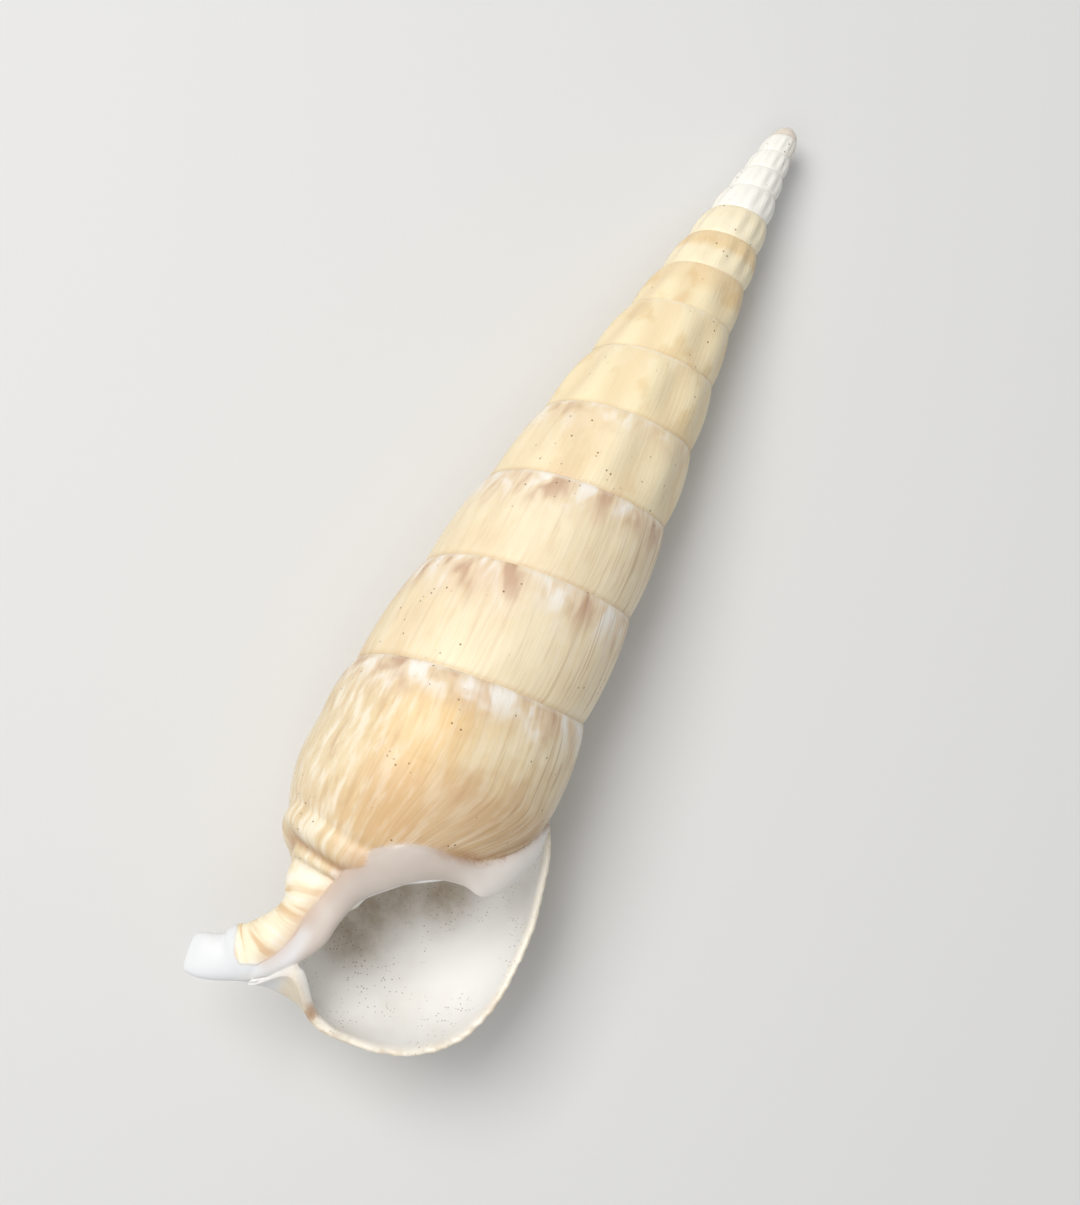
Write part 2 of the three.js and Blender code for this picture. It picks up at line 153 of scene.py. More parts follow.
def arc_point(turn, u):
    """Radius and height of the rounded base below a whorl's face, with the two cords of the fasciole."""
    top_r, top_z = face_point(turn, np.ones_like(turn))
    top_r = top_r - (top_r - suture_radius(turn - 1)) * smooth(0, 0.6, u)
    angle = u * math.pi / 2
    lean = np.minimum(np.abs(turn - 0.55), 0.15)
    thick = THICK_CORD * bump(u, 0.44 + 1.1 * lean, 0.065 + 0.2 * lean)
    thin = THIN_CORD * bump(u, 0.635 + 0.9 * lean, 0.035)
    groove = 0.5 * bump(u, 0.545 + lean, 0.03) + 0.3 * bump(u, 0.335 + lean, 0.03)
    groove = groove + 0.35 * bump(u, 0.70 + 0.9 * lean, 0.03)
    cord = smooth(0.38, 0.5, turn) * (1 - smooth(0.8, 0.95, turn)) * (thick + thin - groove)
    r = PILLAR_RADIUS + (top_r - PILLAR_RADIUS) * np.cos(angle) + cord
    return r, top_z - BASE_DEPTH * np.sin(angle) - 0.3 * cord


def base_point(turn, s):
    """The shown arc of the base, s from 0 to 1, and then the roof of the mouth, s from 1 to 2."""
    shown = np.clip(2.75 * (1 - turn), 0, BASE_SHOWN)
    arc_r, arc_z = arc_point(turn, np.minimum(s, 1) * shown)
    shallow = mix(0.8, 3.0, smooth(0.7, 0.75, turn))
    depth = mix(shallow, ROOF_DEPTH, smooth(0.8, 1, turn))
    angle = np.clip(s - 1, 0, 1) * math.pi / 2
    r = PILLAR_RADIUS + (arc_r - PILLAR_RADIUS) * np.cos(angle)
    return np.where(s <= 1, arc_r, r), np.where(s <= 1, arc_z, arc_z - depth * np.sin(angle))


def around(turn, r, height, axis_x=0.0):
    angle = 2 * math.pi * turn
    return np.stack([axis_x + r * np.cos(angle), height + 0 * angle, -r * np.sin(angle)], axis=-1)


class Solid:
    """A closed mesh under construction."""

    def __init__(self):
        self.points = []
        self.faces = []
        self.zones = []

    def point(self, p):
        self.points.append(tuple(float(v) for v in p))
        return len(self.points) - 1

    def grid(self, rows):
        return [[self.point(p) for p in row] for row in rows]

    def face(self, corners, zone):
        kept = [c for i, c in enumerate(corners) if c != corners[i - 1]]
        if len(kept) > 2:
            self.faces.append(kept)
            self.zones.append(zone)

    def make(self, name):
        mesh = bpy.data.meshes.new(name)
        mesh.from_pydata(self.points, [], self.faces)
        for _ in range(4):
            mesh.materials.append(None)
        mesh.polygons.foreach_set("material_index", self.zones)
        work = bmesh.new()
        work.from_mesh(mesh)
        bmesh.ops.triangulate(work, faces=work.faces[:])
        bmesh.ops.recalc_face_normals(work, faces=work.faces[:])
        if work.calc_volume(signed=True) < 0:
            bmesh.ops.reverse_faces(work, faces=work.faces[:])
        work.to_mesh(mesh)
        work.free()
        made = bpy.data.objects.new(name, mesh)
        bpy.context.scene.collection.objects.link(made)
        return made


# The spire and the body whorl are one spiral strip. A column of the strip ends on the column one turn
# further on, and the last turn's columns go on over the base and the roof of the mouth.
def make_spire():
    solid = Solid()
    n = STEPS_PER_TURN
    last = round((TURNS - BODY_END) * n)
    turns = BODY_END + (last - np.arange(last + 1)) / n
    t = np.linspace(0, 1, FACE_STEPS + 1)[:-1]
    t = 0.5 - 0.5 * np.cos(math.pi * t) * (1 - 0.25 * np.sin(math.pi * t) ** 2)
    r, z = face_point(turns[:, None], t[None, :])
    columns = solid.grid(around(turns[:, None], r, z))
    pole = solid.point((-1, float(suture_height(np.array(0.5))) - 20, 0))
    steps = BASE_STEPS + ROOF_STEPS
    s = np.concatenate([np.linspace(0, 1, BASE_STEPS + 1), 1 + np.arange(1, ROOF_STEPS + 1) / ROOF_STEPS])
    base = {}
    for k in range(last - n, last + 1):
        r, z = base_point(np.full(steps + 1, turns[k]), s)
        row = [solid.point(p) for p in around(np.full(steps + 1, turns[k]), r, z)]
        if k == last - n:
            row[0] = columns[last][0]
        base[k] = row + [pole]

    def column(k):
        return columns[k] + ([columns[k + n][0]] if k + n <= last else base[k])

    for k in range(last):
        a, b = column(k), column(k + 1)
        if k == last - n:
            a = a + base[k][1:]
        for j in range(min(len(a), len(b)) - 1):
            # Under the callus the last steps of the base are already inside the mouth.
            hidden = FACE_STEPS + BASE_STEPS - (8 if 0.68 < turns[k] < 0.86 else 0)
            zone = ZONE_OUTSIDE if j < hidden else ZONE_MOUTH
            solid.face([a[j], b[j], b[j + 1], a[j + 1]], zone)
    end = column(last) + base[last - n][::-1][1:-1]
    solid.face(end, ZONE_MOUTH)
    # The apex is a small round cap.
    ring = column(0) + [columns[k][0] for k in range(n - 1, 0, -1)]
    rim = np.array([solid.points[i] for i in ring])
    top = float(suture_height(np.array(TURNS)))
    for step in range(1, 6):
        angle = step / 6 * math.pi / 2
        level = mix(rim[:, 1], top, math.sin(angle) ** 1.5) + APEX_RISE * math.sin(angle)
        narrowed = rim * math.cos(angle)
        narrowed[:, 1] = level
        cap = [solid.point(p) for p in narrowed]
        for i in range(len(ring)):
            k = (i + 1) % len(ring)
            solid.face([cap[i], ring[i], ring[k], cap[k]], ZONE_OUTSIDE)
        ring = cap
    apex = solid.point((0, top + APEX_RISE, 0))
    for i, corner in enumerate(ring):
        solid.face([apex, corner, ring[(i + 1) % len(ring)]], ZONE_OUTSIDE)
    return solid.make("shell")


# The last half whorl is thin wall only. Its outside follows the body whorl, rounds the back and flares
# into the lip, whose edge has a small fold beside the canal.
BACK_RIB = [
    (15.0, -10.0), (16.0, -14.0), (16.2, -18.5), (16.0, -23.0), (15.4, -28.0), (14.0, -33.0),
    (11.7, -37.5), (8.0, -41.8), (1.0, -45.5),
]
LIP_RIB = [
    (15.9, -12.3), (18.6, -16.6), (20.6, -23.0), (22.5, -30.0), (24.3, -37.0), (24.3, -43.0),
    (20.6, -47.4), (12.6, -48.9), (1.0, -48.4),
]


def along(rows, s):
    """Smooth values between rows of numbers, s from 0 at the first row to 1 at the last."""
    rows = np.array(rows, float)
    count = len(rows)
    at = np.clip(s, 0, 1) * (count - 1)
    i = np.minimum(count - 2, np.floor(at).astype(int))
    f = (at - i)[..., None]
    p0, p1 = rows[np.clip(i - 1, 0, count - 1)], rows[i]
    p2, p3 = rows[i + 1], rows[np.clip(i + 2, 0, count - 1)]
    m1, m2 = (p2 - p0) / 2, (p3 - p1) / 2
    return (
        (2 * f**3 - 3 * f**2 + 1) * p1 + (f**3 - 2 * f**2 + f) * m1
        + (3 * f**2 - 2 * f**3) * p2 + (f**3 - f**2) * m2
    )


def wall_point(turn, b):
    turn, b = np.broadcast_arrays(turn, b)
    face_r, face_z = face_point(turn, np.clip(b * 8 / 3, 0, 1))
    arc_r, arc_z = arc_point(turn, np.clip((b * 8 - 3) / 5, 0, 1))
    own_r, own_z = np.where(b < 3 / 8, face_r, arc_r), np.where(b < 3 / 8, face_z, arc_z)
    back, lip = along(BACK_RIB, b), along(LIP_RIB, b)
    to_back = smooth(0.47, 0.25, turn)
    reach = np.clip((0.25 - turn) / 0.25, 0, 1)
    to_lip = mix(reach**1.5, smooth(0, 1, reach), smooth(0.75, 0.93, b))
    r = mix(mix(own_r, back[..., 0], to_back), lip[..., 0], to_lip)
    z = mix(mix(own_z, back[..., 1], to_back), lip[..., 1], to_lip)
    bent = -CANAL_BEND * np.clip((-24 - z) / 26, 0, 1.2) ** 1.6
    return around(turn, r, z, bent * to_back)


# The fold stands up from the edge of the lip, towards the apex and to the front.
def fold_shift(turn, b):
    fold = smooth(0.1, 0, turn) * bump(b, 0.945, 0.03)
    return np.stack([0 * fold, 3.9 * fold, 3.3 * fold], axis=-1)


def make_wall():
    solid = Solid()
    start = BODY_END + 0.1
    a = np.linspace(0, 1, WALL_STEPS_AROUND + 1)[:, None]
    j = np.arange(WALL_STEPS_ACROSS + 1)[None, :] / WALL_STEPS_ACROSS
    turn, b = start * (1 - a) + 0 * j, 1 - (1 - j) ** 1.3 + 0 * a
    p = wall_point(turn, b)
    e = 0.004
    du = wall_point(turn - e, b) - wall_point(turn + e, b)
    dv = wall_point(turn, np.minimum(1, b + e)) - wall_point(turn, np.maximum(0, b - e))
    normal = np.cross(dv, du)
    normal /= np.linalg.norm(normal, axis=-1, keepdims=True) + 1e-9
    shift = fold_shift(turn, b)
    # The edge of the lip is uneven and a little scalloped.
    edge = smooth(0.035, 0, turn)
    out = du / (np.linalg.norm(du, axis=-1, keepdims=True) + 1e-9)
    uneven = 0.28 * waves(14 * b, 0.4) + 0.2 * waves(37 * b, 2.1)
    scallops = 0.4 * np.cos(2 * math.pi * 30 * b) * smooth(0.1, 0.2, b) * smooth(0.75, 0.55, b)
    ends = smooth(0.0, 0.06, b) * smooth(1.0, 0.96, b)
    shift = shift + out * (edge * (uneven + scallops) * ends)[..., None]
    inset = 0.4 * smooth(BODY_END + 0.01, start, turn)
    thick = mix(WALL_THICKNESS, LIP_THICKNESS, smooth(0.8, 1, a) + 0 * b)
    thick = thick + FOLD_THICKNESS * smooth(0.1, 0, turn) * bump(b, 0.93, 0.05)
    outer = solid.grid(p + shift + normal * inset[..., None])
    inner = solid.grid(p + shift + normal * (inset + thick)[..., None])
    rows, across = WALL_STEPS_AROUND, WALL_STEPS_ACROSS
    for i in range(rows):
        for k in range(across):
            solid.face([outer[i][k], outer[i + 1][k], outer[i + 1][k + 1], outer[i][k + 1]], ZONE_OUTSIDE)
            solid.face([inner[i][k], inner[i][k + 1], inner[i + 1][k + 1], inner[i + 1][k]], ZONE_MOUTH)
        solid.face([outer[i][0], inner[i][0], inner[i + 1][0], outer[i + 1][0]], ZONE_MOUTH)
        solid.face([outer[i][-1], outer[i + 1][-1], inner[i + 1][-1], inner[i][-1]], ZONE_MOUTH)
    for k in range(across):
        solid.face([outer[0][k], outer[0][k + 1], inner[0][k + 1], inner[0][k]], ZONE_MOUTH)
        solid.face([outer[-1][k], inner[-1][k], inner[-1][k + 1], outer[-1][k + 1]], ZONE_MOUTH)
    return solid.make("wall")


def loft(name, rings, zone):
    """A closed solid through rings of equally many points."""
    solid = Solid()
    rows = solid.grid(rings)
    count = len(rows[0])
    for a, b in zip(rows, rows[1:]):
        for j in range(count):
            k = (j + 1) % count
            solid.face([a[j], b[j], b[k], a[k]], zone)
    for ring, row in ((rings[0], rows[0]), (rings[-1], rows[-1][::-1])):
        centre = solid.point(np.mean(ring, axis=0))
        for j in range(count):
            solid.face([centre, row[j], row[(j + 1) % count]], zone)
    return solid.make(name)


# The pillar in the middle turns into the neck and the flat tongue of the canal.
# Each row: centre x, height along the axis, z, half width across, half depth to the front.
PILLAR = [
    (0.0, -6.0, 0.0, 2.6, 2.6), (0.0, -20.0, 0.5, 3.6, 3.6), (-2.7, -28.0, 1.4, 4.5, 4.6),
    (-4.4, -33.0, 1.2, 4.9, 4.8), (-4.5, -37.0, 0.8, 3.5, 4.2), (-5.3, -40.3, 0.4, 3.4, 3.6),
    (-7.6, -43.8, -0.3, 3.4, 2.6), (-9.2, -45.3, -0.6, 3.5, 2.1), (-10.4, -46.4, -0.9, 2.9, 1.6),
    (-11.9, -47.2, -1.1, 2.8, 1.3), (-13.6, -47.8, -1.4, 2.7, 1.0), (-15.0, -48.1, -1.6, 2.2, 0.5),
]


def make_pillar():
    rings = []
    stations, sides = 110, 56
    for i in range(stations + 1):
        s = i / stations
        row = along(PILLAR, np.array(s))
        ahead = along(PILLAR, np.array(min(1, s + 0.01)))[:3] - along(PILLAR, np.array(max(0, s - 0.01)))[:3]
        ahead = Vector(ahead).normalized()
        front = Vector((0, 0, 1)) - ahead * ahead.z
        front.normalize()
        across = front.cross(ahead)
        # The section is an oval that turns squarer towards the tip.
        power = mix(1.0, 0.7, float(smooth(0.7, 1.0, s)))
        # The tip of the tongue is rounded.
        row[3] = row[3] * math.sqrt(1 - 0.75 * max(0, (s - 0.96) / 0.04) ** 2)
        ring = []
        for j in range(sides):
            c, w = math.cos(2 * math.pi * j / sides), math.sin(2 * math.pi * j / sides)
            side, rise = math.copysign(abs(c) ** power, c), math.copysign(abs(w) ** power, w)
            ring.append(Vector(row[:3]) + across * (row[3] * side) + front * (row[4] * rise))
        rings.append(ring)
    return loft("pillar", rings, ZONE_PILLAR)


# The hollow of the last whorl goes on behind the front of the body whorl and narrows to its end.
def make_hollow():
    rings = []
    stations, sides = 60, 48
    for i in range(stations + 1):
        s = i / stations
        shrink = math.sqrt(1 - 0.96 * s * s)
        angle = 2 * math.pi * np.arange(sides) / sides
        out = HOLLOW_HALF_WIDTH * shrink * np.cos(angle)
        up = HOLLOW_HALF_HEIGHT * shrink * np.sin(angle) + 0.7 * out
        turn = np.full(sides, mix(BODY_END - 0.04, 1, s))
        rings.append(around(turn, HOLLOW_RADIUS + out, mix(-22.8, -15.2, s) + up))
    return loft("hollow", rings, ZONE_MOUTH)


# The callus is a thick smooth ribbon of glaze. One edge lies on the shell, the other hangs over the mouth.
# Each row: the two edges as x, height along the axis, z.
CALLUS = [
    (15.7, -13.3, 1.6, 16.6, -13.7, 0.6), (15.1, -14.9, 3.7, 16.6, -16.3, 1.6),
    (14.4, -17.2, 5.6, 16.4, -19.3, 3.6), (12.8, -20.0, 7.7, 15.1, -23.4, 6.9),
    (10.3, -22.2, 9.8, 12.9, -25.7, 8.9), (6.4, -23.5, 12.3, 9.9, -25.8, 10.0),
    (2.8, -24.5, 13.3, 6.5, -27.0, 10.8), (-0.2, -26.6, 12.6, 3.1, -29.8, 10.3),
    (-2.5, -30.1, 10.0, 0.5, -32.8, 8.2), (-3.4, -33.9, 6.6, -0.5, -36.3, 6.2),
    (-4.3, -37.9, 4.9, -0.9, -39.8, 4.8), (-5.0, -42.6, 3.0, -2.8, -43.4, 3.0),
    (-7.6, -45.8, 0.9, -6.3, -47.2, 0.3), (-10.4, -47.2, -0.3, -9.6, -49.0, -0.9),
]
# Its section, corner by corner: share of the width from the outer edge, height above the edges.
CALLUS_SECTION = [
    (-0.12, -1.2), (-0.03, 0.1), (0.2, 0.7), (0.65, 0.85),
    (0.96, 0.45), (1.02, -0.2), (0.85, -1.1), (0.35, -2.1),
]


def make_callus():
    rings = []
    stations, sides = 180, 32
    closed = CALLUS_SECTION[-2:] + CALLUS_SECTION * 2
    share = (2 + 8 * np.arange(sides) / sides) / (len(closed) - 1)
    section = along(closed, share)
    for i in range(stations + 1):
        s = np.array(i / stations)
        a, c = along(CALLUS, s)[:3], along(CALLUS, s)[3:]
        step = along(CALLUS, np.minimum(1, s + 0.005)) - along(CALLUS, np.maximum(0, s - 0.005))
        across = c - a
        up = np.cross(step[:3] + step[3:], across)
        up /= np.linalg.norm(up)
        if up[2] < 0:
            up = -up
        ends = 0.35 + 0.65 * smooth(0, 0.12, s) * smooth(1, 0.8, s)
        rings.append([a + across * w + up * (h * ends) for w, h in section])
    return loft("callus", rings, ZONE_CALLUS)


shell = make_spire()
shell.name = "whorls"
bpy.context.view_layer.objects.active = shell
joins = [
    (make_hollow(), "DIFFERENCE"), (make_wall(), "UNION"),
    (make_pillar(), "UNION"), (make_callus(), "UNION"),
]
for tool, operation in joins:
    join = shell.modifiers.new("join", "BOOLEAN")
    join.object = tool
    join.operation = operation
    join.solver = "MANIFOLD"
    bpy.ops.object.modifier_apply(modifier=join.name)
    bpy.data.objects.remove(tool)
work = bmesh.new()
work.from_mesh(shell.data)
bmesh.ops.remove_doubles(work, verts=work.verts[:], dist=0.02)
bmesh.ops.dissolve_degenerate(work, edges=work.edges[:], dist=0.01)
bmesh.ops.triangulate(work, faces=work.faces[:])
work.to_mesh(shell.data)
work.free()
mesh = shell.data
count = len(mesh.vertices)
points = np.zeros(count * 3)
mesh.vertices.foreach_get("co", points)
points = points.reshape(-1, 3)
edges = np.zeros(len(mesh.edges) * 2, int)
mesh.edges.foreach_get("vertices", edges)
edges = edges.reshape(-1, 2)
corners = np.zeros(len(mesh.polygons) * 3, int)
mesh.polygons.foreach_get("vertices", corners)
corners = corners.reshape(-1, 3)
zones = np.zeros(len(mesh.polygons), int)
mesh.polygons.foreach_get("material_index", zones)


def spread(values, steps):
    """Values at the vertices, softened along the edges."""
    degree = np.zeros(count)
    for side in (0, 1):
        np.add.at(degree, edges[:, side], 1)
    for _ in range(steps):
        total = np.zeros_like(values)
        np.add.at(total, edges[:, 0], values[edges[:, 1]])
        np.add.at(total, edges[:, 1], values[edges[:, 0]])
        values = 0.5 * values + 0.5 * (total.T / degree).T
    return values


def zone_mask(zone, steps):
    total, faces = np.zeros(count), np.zeros(count)
    for side in range(3):
        np.add.at(total, corners[:, side], (zones == zone).astype(float))
        np.add.at(faces, corners[:, side], 1)
    return spread(total / np.maximum(faces, 1), steps)


# The joints between the grown parts are rounded where the surface turns sharply.
first, second, third = (points[corners[:, side]] for side in range(3))
normals = np.cross(second - first, third - first)
normals /= np.linalg.norm(normals, axis=1, keepdims=True) + 1e-12
mean = np.zeros((count, 3))
faces = np.zeros(count)
for side in range(3):
    np.add.at(mean, corners[:, side], normals)
    np.add.at(faces, corners[:, side], 1)
sharp = 1 - np.linalg.norm(mean, axis=1) / np.maximum(faces, 1)
sharp = spread((sharp > 0.03).astype(float), 2)
height = points[:, 1]
near_mouth = smooth(-11, -14, height)[:, None]
weight = np.clip(1.5 * sharp, 0, 1)[:, None] * near_mouth
for _ in range(4):
    points = mix(points, spread(points, 1), weight)

# Growth coordinates: the turn, and the share from the whorl's upper suture to its lower one.
turn_of = np.arctan2(-points[:, 2], points[:, 0]) / (2 * math.pi) % 1
centre = points[corners].mean(axis=1)
centre_turn = np.arctan2(-centre[:, 2], centre[:, 0]) / (2 * math.pi) % 1
whorl = np.zeros(len(centre))
for k in range(math.ceil(TURNS)):
    whorl = np.where(suture_height(centre_turn + k) < centre[:, 1], k + 1, whorl)
centre_turn = centre_turn + whorl
offset = turn_of[corners] - (centre_turn % 1)[:, None]
offset = offset - np.round(offset)
corner_turn = centre_turn[:, None] + offset
top, bottom = suture_height(corner_turn), suture_height(corner_turn - 1)
corner_share = (top - points[corners][:, :, 1]) / (top - bottom)
growth = mesh.uv_layers.new(name="growth")
growth.data.foreach_set("uv", np.stack([corner_turn, corner_share], axis=-1).ravel())


def keep(name, values):
    layer = mesh.attributes.new(name, "FLOAT", "POINT")
    layer.data.foreach_set("value", np.clip(values, 0, 1).astype(np.float32))


def distance_to(line):
    best = np.full(count, 1e9)
    for p in line:
        best = np.minimum(best, np.linalg.norm(points - p, axis=1))
    return best


# Places in the mouth, in the frame of growth: the painted brown shade below the callus, and the lip's brown
# stains.
SHADE_PLACES = [(1.2, -36.8, -11.1), (2.0, -33.0, -12.8), (4.0, -29.5, -13.7), (9.1, -26.1, -13.1)]
STAIN_PLACES = [(2.1, -47.5, 0.9), (4.0, -48.6, 0.6), (6.5, -49.3, 0.4)]
callus = zone_mask(ZONE_CALLUS, 1)
keep("callus", callus)
pillar = zone_mask(ZONE_PILLAR, 3)
keep("mouth", zone_mask(ZONE_MOUTH, 3) + pillar * smooth(-1.5, 1.0, points[:, 0]))
# Below this line the neck is white; above it, it is cream.
white_x = [-14, -11.2, -10.2, -9.6, -8.6, -6.4, -5.4, -4.3, -3.5]
white_y = [-40, -42.5, -44.8, -45.8, -46.3, -45.2, -43.6, -40.2, -33]
white_line = np.interp(points[:, 0], white_x, white_y)
keep("neck", pillar * smooth(1.0, -1.5, points[:, 0]) * smooth(-0.35, 0.25, height - white_line))
on_tongue = smooth(-38, -40, height) * smooth(-2, -4, points[:, 0])
keep("tip", smooth(0.25, -0.35, height - white_line) * on_tongue)
rim_b = np.linspace(0, 1, 90)
from_rim = distance_to(wall_point(0 * rim_b, rim_b) + fold_shift(0 * rim_b, rim_b))
keep("rim", (1 - smooth(0.3, 2.2, from_rim)) * mix(0.35, 1, smooth(-1, 2, points[:, 0])))
keep("lip", 1 - smooth(2, 8, from_rim))
# Painted shadow beside the callus's upper edge on the right, where the ribbon stands proud.
from_callus = distance_to(along(CALLUS, np.linspace(0, 0.6, 60))[:, :3])
keep("callus_edge_shadow", (1 - smooth(0.3, 1.6, from_callus)) * smooth(2, 11, points[:, 0]))
# How far along the pillar a point lies, for the streaks across the neck.
pillar_line = along(PILLAR, np.linspace(0, 1, 200))[::4, :3]
to_pillar = np.linalg.norm(points[:, None, :] - pillar_line[None, :, :], axis=2)
keep("along", spread(np.argmin(to_pillar, axis=1) / len(pillar_line), 3))
# Along the callus's edge by the neck: a rosy tan line that is partly painted shadow of the edge.
from_callus = distance_to(along(CALLUS, np.linspace(0.6, 0.88, 40))[:, :3])
keep("rose_and_edge_shade", 1 - smooth(0.2, 2.2, from_callus))
keep("shade", 1 - smooth(0, 8, distance_to(SHADE_PLACES)))
keep("mottle", 1 - smooth(0.3, 2.2, distance_to(STAIN_PLACES)))
whorl_turn = np.zeros(count)
np.maximum.at(whorl_turn, corners.ravel(), corner_turn.ravel())
keep("dip", folded(whorl_turn) * (0.5 - 0.5 * np.cos(fold_angle(whorl_turn))))

# The two grooves between and below the cords of the fasciole, where dirt gathers.
groove = np.zeros(count)
for k in (0.54, 0.70):
    lean = np.minimum(np.abs(turn_of - 0.55), 0.15)
    sine = (suture_height(turn_of - 1) - points[:, 1]) / BASE_DEPTH
    u = np.arcsin(np.clip(sine, 0, 1)) * 2 / math.pi
    groove = np.maximum(groove, bump(u, k + lean, 0.035))
keep("groove", groove)

# It lies on its back, dipped a little towards the apex, and the back is worn flat where it rests.
REST_SLOPE = math.radians(6)
REST_SHIFT = Vector((-3.0823, -18.0784, 14.4142))
rest = Matrix.Translation(REST_SHIFT) @ Matrix.Rotation(-REST_SLOPE, 4, "X")
points = points @ np.array(rest.to_3x3()).T + np.array(REST_SHIFT)
points[:, 2] = np.maximum(points[:, 2], 0)
mesh.vertices.foreach_set("co", (points / 1000).ravel())
mesh.polygons.foreach_set("use_smooth", [True] * len(mesh.polygons))
mesh.update()


def tint(code):
    """A colour as a maker would write it, in the shader's own light values."""
    values = [int(code[i:i + 2], 16) / 255 for i in (0, 2, 4)]
    return tuple(v / 12.92 if v <= 0.04045 else ((v + 0.055) / 1.055) ** 2.4 for v in values) + (1,)


lime = bpy.data.materials.new("shell lime")
lime.use_nodes = True
tree = lime.node_tree
shader = tree.nodes["Principled BSDF"]


def feed(socket, value):
    if isinstance(value, bpy.types.NodeSocket):
        tree.links.new(value, socket)
    else:
        socket.default_value = value


def math_node(operation, a, b=0.0, c=0.0):
    node = tree.nodes.new("ShaderNodeMath")
    node.operation = operation
    for socket, value in zip(node.inputs, (a, b, c)):
        feed(socket, value)
    return node.outputs[0]


def ramp(value, low, high):
    """0 to 1 as the value goes from low to high, smoothly."""
    node = tree.nodes.new("ShaderNodeMapRange")
    node.interpolation_type = "SMOOTHSTEP"
    feed(node.inputs["Value"], value)
    node.inputs["From Min"].default_value = low
    node.inputs["From Max"].default_value = high
    return node.outputs["Result"]


def paint(under, over, share):
    node = tree.nodes.new("ShaderNodeMix")
    node.data_type = "RGBA"
    feed(node.inputs["Factor"], share)
    feed(node.inputs["A"], under)
    feed(node.inputs["B"], over)
    return node.outputs["Result"]


def cloud(vector, detail=3.0, roughness=0.55, distortion=0.0):
    node = tree.nodes.new("ShaderNodeTexNoise")
    node.inputs["Scale"].default_value = 1
    node.inputs["Detail"].default_value = detail
    node.inputs["Roughness"].default_value = roughness
    node.inputs["Distortion"].default_value = distortion
    feed(node.inputs["Vector"], vector)
    return node.outputs["Fac"]


def attribute(name):
    node = tree.nodes.new("ShaderNodeAttribute")
    node.attribute_name = name
    return node.outputs["Fac"]


def product(*values):
    total = values[0]
    for value in values[1:]:
        total = math_node("MULTIPLY", total, value)
    return total


growth_map = tree.nodes.new("ShaderNodeUVMap")
growth_map.uv_map = "growth"
parts = tree.nodes.new("ShaderNodeSeparateXYZ")
feed(parts.inputs[0], growth_map.outputs[0])
turn, share = parts.outputs[0], parts.outputs[1]
place = tree.nodes.new("ShaderNodeTexCoord").outputs["Object"]
# Growth lines run down the whorl, and near the mouth they turn forward over the base.
base_lean = math_node("MAXIMUM", math_node("SUBTRACT", share, 0.9), 0.0)
line = math_node("MULTIPLY_ADD", product(base_lean, base_lean, ramp(turn, 0.7, 1.0)), 0.22, turn)
back_lean = product(share, math_node("MULTIPLY_ADD", share, -0.5, 1.1))
line = math_node("MULTIPLY_ADD", back_lean, -0.025, line)
last_whorl = ramp(turn, 1.3, 1.1)


def on_growth(per_turn, per_whorl, layer):
    node = tree.nodes.new("ShaderNodeCombineXYZ")
    feed(node.inputs[0], product(line, per_turn))
    feed(node.inputs[1], product(share, per_whorl))
    node.inputs[2].default_value = layer
    return node.outputs[0]


def on_place(scale, layer=(0, 0, 0)):
    node = tree.nodes.new("ShaderNodeMapping")
    node.inputs["Scale"].default_value = (scale,) * 3 if isinstance(scale, (int, float)) else scale
    node.inputs["Location"].default_value = layer
    feed(node.inputs["Vector"], place)
    return node.outputs[0]


# Outside: cream and tan lime, yellower in the middle of the last whorl, with painted shade on its lower part
# towards the callus, which faces down.
patches = cloud(on_growth(11, 1.4, 0), 3, 0.5, 0.2)
outside = paint(tint("EDD6AC"), tint("D6B084"), product(ramp(patches, 0.48, 0.7), 0.6))
outside = paint(outside, tint("F8E8C4"), product(ramp(patches, 0.5, 0.34), 0.8))
outside = paint(outside, tint("FAECCB"), product(ramp(turn, 1.3, 1.8), 0.5))
flush = product(ramp(turn, 0.62, 0.7), ramp(turn, 0.8, 0.73), ramp(share, 0.1, 0.5), last_whorl)
outside = paint(outside, tint("F2C67E"), product(flush, 0.6))
# Painted shade: the last whorl's lower part, turned down from the light, is darkened to tan.
lower = product(ramp(share, 0.7, 1.5), ramp(turn, 0.62, 0.72), last_whorl)
outside = paint(outside, tint("C59A6C"), product(lower, 0.55))
# Whitish wrinkles crowd the left of the last whorl and are fewer elsewhere.
wrinkles = cloud(on_growth(64, 2.2, 3), 3, 0.55, 0.2)
crowd = product(ramp(turn, 0.74, 0.62), last_whorl)
whiter = math_node("MULTIPLY_ADD", crowd, 0.6, 0.22)
outside = paint(outside, tint("EAD7B2"), product(crowd, 0.6))
outside = paint(outside, tint("FAF0DA"), product(ramp(wrinkles, 0.45, 0.65), whiter))
browner = math_node("MULTIPLY_ADD", crowd, 0.22, 0.12)
outside = paint(outside, tint("C49C72"), product(ramp(wrinkles, 0.46, 0.3), browner))
# Milky flames alternate with rosy brown under each suture.
flames = cloud(on_growth(26, 2.2, 11), 2, 0.5, 0.4)
band = ramp(math_node("MULTIPLY_ADD", cloud(on_growth(14, 1, 5)), 0.5, share), 0.75, 0.3)
fade = ramp(turn, 6.0, 3.0)
outside = paint(outside, tint("E9CDB2"), product(band, 0.4))
outside = paint(outside, tint("B98B6E"), product(ramp(flames, 0.5, 0.66), band, fade, 0.6))
outside = paint(outside, tint("FFFBF2"), product(ramp(flames, 0.52, 0.36), band, 0.9))
